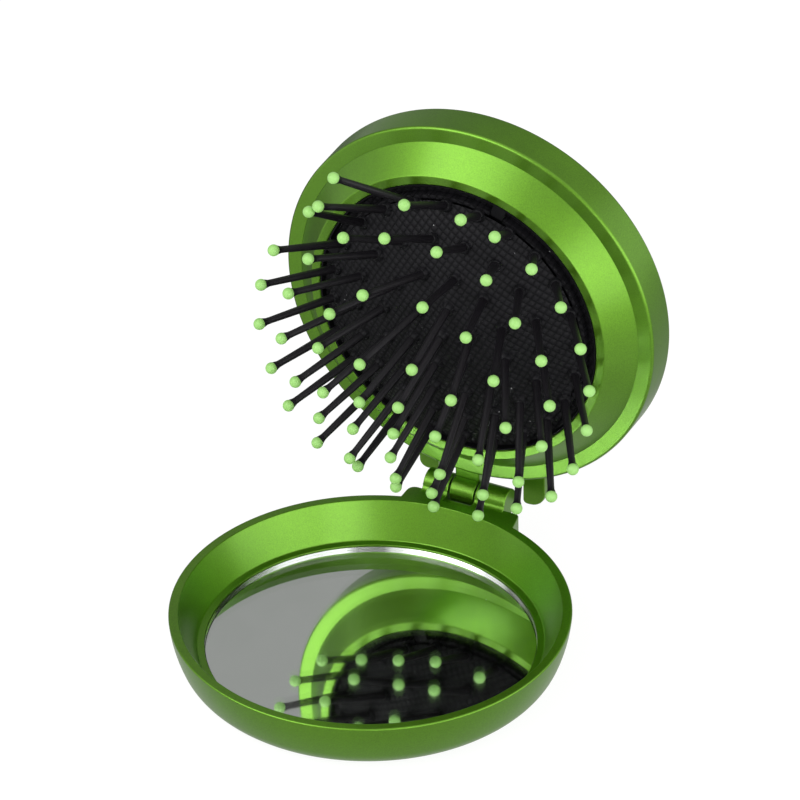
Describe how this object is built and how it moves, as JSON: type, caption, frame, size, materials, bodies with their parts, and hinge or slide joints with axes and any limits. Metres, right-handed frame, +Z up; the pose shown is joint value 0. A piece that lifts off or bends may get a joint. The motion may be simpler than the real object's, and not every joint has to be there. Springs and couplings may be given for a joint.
{
  "type": "folding hairbrush with mirror",
  "caption": "Round compact hairbrush that folds shut over a mirror; the ball-tipped bristles retract into the case as it closes.",
  "frame": {"origin": "centre of the mirror half's flat bottom, on the surface it rests on", "axes": "+X along the hinge pin, +Y from the mirror half's centre to the hinge, +Z up out of the mirror"},
  "size_m": [0.0728, 0.0945, 0.0879],
  "materials": {
    "green_shell": "satin metallic",
    "mirror": "silvered, bevelled",
    "adhesive": "matt",
    "steel": "drawn",
    "black_plastic": "satin",
    "rubber": "matt, fine texture",
    "bristle": "satin",
    "ball": "gloss"
  },
  "bodies": {
    "mirror_half": {"mirror_shell": "green_shell", "mirror_adhesive": "adhesive", "mirror_glass": "mirror", "hinge_pin": "steel"},
    "brush_half": {"brush_shell": "green_shell", "brush_collar": "green_shell", "guide_sleeve": "black_plastic"},
    "pop_up_core": {"core_rim": "black_plastic", "push_plate": "black_plastic", "cushion": "rubber", "inner_bristles": "bristle", "inner_balls": "ball"},
    "second_ring": {"second_bristles": "bristle", "second_balls": "ball"},
    "third_group_01": {"third_bristles_01": "bristle", "third_balls_01": "ball"},
    "third_group_02": {"third_bristles_02": "bristle", "third_balls_02": "ball"},
    "third_group_03": {"third_bristles_03": "bristle", "third_balls_03": "ball"},
    "third_group_04": {"third_bristles_04": "bristle", "third_balls_04": "ball"},
    "third_group_05": {"third_bristles_05": "bristle", "third_balls_05": "ball"},
    "third_group_06": {"third_bristles_06": "bristle", "third_balls_06": "ball"},
    "outer_group_01": {"outer_bristles_01": "bristle", "outer_balls_01": "ball"},
    "outer_group_02": {"outer_bristles_02": "bristle", "outer_balls_02": "ball"},
    "outer_group_03": {"outer_bristles_03": "bristle", "outer_balls_03": "ball"},
    "outer_group_04": {"outer_bristles_04": "bristle", "outer_balls_04": "ball"},
    "outer_group_05": {"outer_bristles_05": "bristle", "outer_balls_05": "ball"},
    "outer_group_06": {"outer_bristles_06": "bristle", "outer_balls_06": "ball"},
    "outer_group_07": {"outer_bristles_07": "bristle", "outer_balls_07": "ball"},
    "outer_group_08": {"outer_bristles_08": "bristle", "outer_balls_08": "ball"},
    "outer_group_09": {"outer_bristles_09": "bristle", "outer_balls_09": "ball"},
    "outer_group_10": {"outer_bristles_10": "bristle", "outer_balls_10": "ball"},
    "outer_group_11": {"outer_bristles_11": "bristle", "outer_balls_11": "ball"},
    "outer_group_12": {"outer_bristles_12": "bristle", "outer_balls_12": "ball"}
  },
  "joints": [
    {"name": "fold", "type": "hinge", "parent": "mirror_half", "child": "brush_half", "pos_m": [0, 0.04047, 0.01099], "axis": [1, 0, 0], "range_deg": [0, 90]},
    {"name": "core_slide", "type": "slide", "parent": "brush_half", "child": "pop_up_core", "axis": [0, 1, 0], "range_m": [0, 0.0204], "deforming": ["cushion"]},
    {"name": "second_tilt", "type": "hinge", "parent": "pop_up_core", "child": "second_ring", "pos_m": [0, 0.03418, 0.05146], "axis": [-1, 0, 0], "range_deg": [0, 7]},
    {"name": "third_tilt_01", "type": "hinge", "parent": "pop_up_core", "child": "third_group_01", "pos_m": [0.015, 0.03503, 0.04608], "axis": [-0.3374, 0, -0.9414], "range_deg": [0, 21.5]},
    {"name": "third_tilt_02", "type": "hinge", "parent": "pop_up_core", "child": "third_group_02", "pos_m": [0.00279, 0.035, 0.03582], "axis": [-0.9845, 0, -0.1755], "range_deg": [0, 21.5]},
    {"name": "third_tilt_03", "type": "hinge", "parent": "pop_up_core", "child": "third_group_03", "pos_m": [-0.0122, 0.035, 0.04128], "axis": [-0.6406, 0, 0.7678], "range_deg": [0, 21.5]},
    {"name": "third_tilt_04", "type": "hinge", "parent": "pop_up_core", "child": "third_group_04", "pos_m": [-0.01495, 0.03503, 0.05699], "axis": [0.3466, 0, 0.938], "range_deg": [0, 21.5]},
    {"name": "third_tilt_05", "type": "hinge", "parent": "pop_up_core", "child": "third_group_05", "pos_m": [-0.00275, 0.03506, 0.06721], "axis": [0.9851, 0, 0.1718], "range_deg": [0, 21.5]},
    {"name": "third_tilt_06", "type": "hinge", "parent": "pop_up_core", "child": "third_group_06", "pos_m": [0.01222, 0.03506, 0.06177], "axis": [0.6449, 0, -0.7642], "range_deg": [0, 21.5]},
    {"name": "outer_tilt_01", "type": "hinge", "parent": "pop_up_core", "child": "outer_group_01", "pos_m": [0.02099, 0.03736, 0.04437], "axis": [-0.3201, 0, -0.9474], "range_deg": [0, 33.2]},
    {"name": "outer_tilt_02", "type": "hinge", "parent": "pop_up_core", "child": "outer_group_02", "pos_m": [0.01465, 0.03738, 0.03481], "axis": [-0.7509, 0, -0.6604], "range_deg": [0, 33.2]},
    {"name": "outer_tilt_03", "type": "hinge", "parent": "pop_up_core", "child": "outer_group_03", "pos_m": [0.00438, 0.03739, 0.0297], "axis": [-0.9804, 0, -0.1971], "range_deg": [0, 33.2]},
    {"name": "outer_tilt_04", "type": "hinge", "parent": "pop_up_core", "child": "outer_group_04", "pos_m": [-0.00707, 0.0374, 0.0304], "axis": [-0.948, 0, 0.3181], "range_deg": [0, 33.2]},
    {"name": "outer_tilt_05", "type": "hinge", "parent": "pop_up_core", "child": "outer_group_05", "pos_m": [-0.01662, 0.0374, 0.03673], "axis": [-0.6633, 0, 0.7484], "range_deg": [0, 33.2]},
    {"name": "outer_tilt_06", "type": "hinge", "parent": "pop_up_core", "child": "outer_group_06", "pos_m": [-0.02174, 0.03739, 0.04699], "axis": [-0.2014, 0, 0.9795], "range_deg": [0, 33.2]},
    {"name": "outer_tilt_07", "type": "hinge", "parent": "pop_up_core", "child": "outer_group_07", "pos_m": [-0.02105, 0.03738, 0.05844], "axis": [0.3145, 0, 0.9493], "range_deg": [0, 33.2]},
    {"name": "outer_tilt_08", "type": "hinge", "parent": "pop_up_core", "child": "outer_group_08", "pos_m": [-0.01473, 0.03736, 0.06801], "axis": [0.747, 0, 0.6648], "range_deg": [0, 33.2]},
    {"name": "outer_tilt_09", "type": "hinge", "parent": "pop_up_core", "child": "outer_group_09", "pos_m": [-0.00446, 0.03735, 0.07314], "axis": [0.9795, 0, 0.2014], "range_deg": [0, 33.2]},
    {"name": "outer_tilt_10", "type": "hinge", "parent": "pop_up_core", "child": "outer_group_10", "pos_m": [0.007, 0.03734, 0.07244], "axis": [0.9486, 0, -0.3165], "range_deg": [0, 33.2]},
    {"name": "outer_tilt_11", "type": "hinge", "parent": "pop_up_core", "child": "outer_group_11", "pos_m": [0.01658, 0.03734, 0.0661], "axis": [0.6621, 0, -0.7494], "range_deg": [0, 33.2]},
    {"name": "outer_tilt_12", "type": "hinge", "parent": "pop_up_core", "child": "outer_group_12", "pos_m": [0.0217, 0.03735, 0.05583], "axis": [0.1973, 0, -0.9803], "range_deg": [0, 33.2]}
  ],
  "couplings": [
    {"joint": "core_slide", "follows": "fold", "m_per_rad": 0.012987},
    {"joint": "second_tilt", "follows": "fold", "ratio": 0.07777},
    {"joint": "third_tilt_01", "follows": "fold", "ratio": 0.23884},
    {"joint": "third_tilt_02", "follows": "fold", "ratio": 0.23884},
    {"joint": "third_tilt_03", "follows": "fold", "ratio": 0.23884},
    {"joint": "third_tilt_04", "follows": "fold", "ratio": 0.23884},
    {"joint": "third_tilt_05", "follows": "fold", "ratio": 0.23884},
    {"joint": "third_tilt_06", "follows": "fold", "ratio": 0.23884},
    {"joint": "outer_tilt_01", "follows": "fold", "ratio": 0.36884},
    {"joint": "outer_tilt_02", "follows": "fold", "ratio": 0.36884},
    {"joint": "outer_tilt_03", "follows": "fold", "ratio": 0.36884},
    {"joint": "outer_tilt_04", "follows": "fold", "ratio": 0.36884},
    {"joint": "outer_tilt_05", "follows": "fold", "ratio": 0.36884},
    {"joint": "outer_tilt_06", "follows": "fold", "ratio": 0.36884},
    {"joint": "outer_tilt_07", "follows": "fold", "ratio": 0.36884},
    {"joint": "outer_tilt_08", "follows": "fold", "ratio": 0.36884},
    {"joint": "outer_tilt_09", "follows": "fold", "ratio": 0.36884},
    {"joint": "outer_tilt_10", "follows": "fold", "ratio": 0.36884},
    {"joint": "outer_tilt_11", "follows": "fold", "ratio": 0.36884},
    {"joint": "outer_tilt_12", "follows": "fold", "ratio": 0.36884}
  ]
}
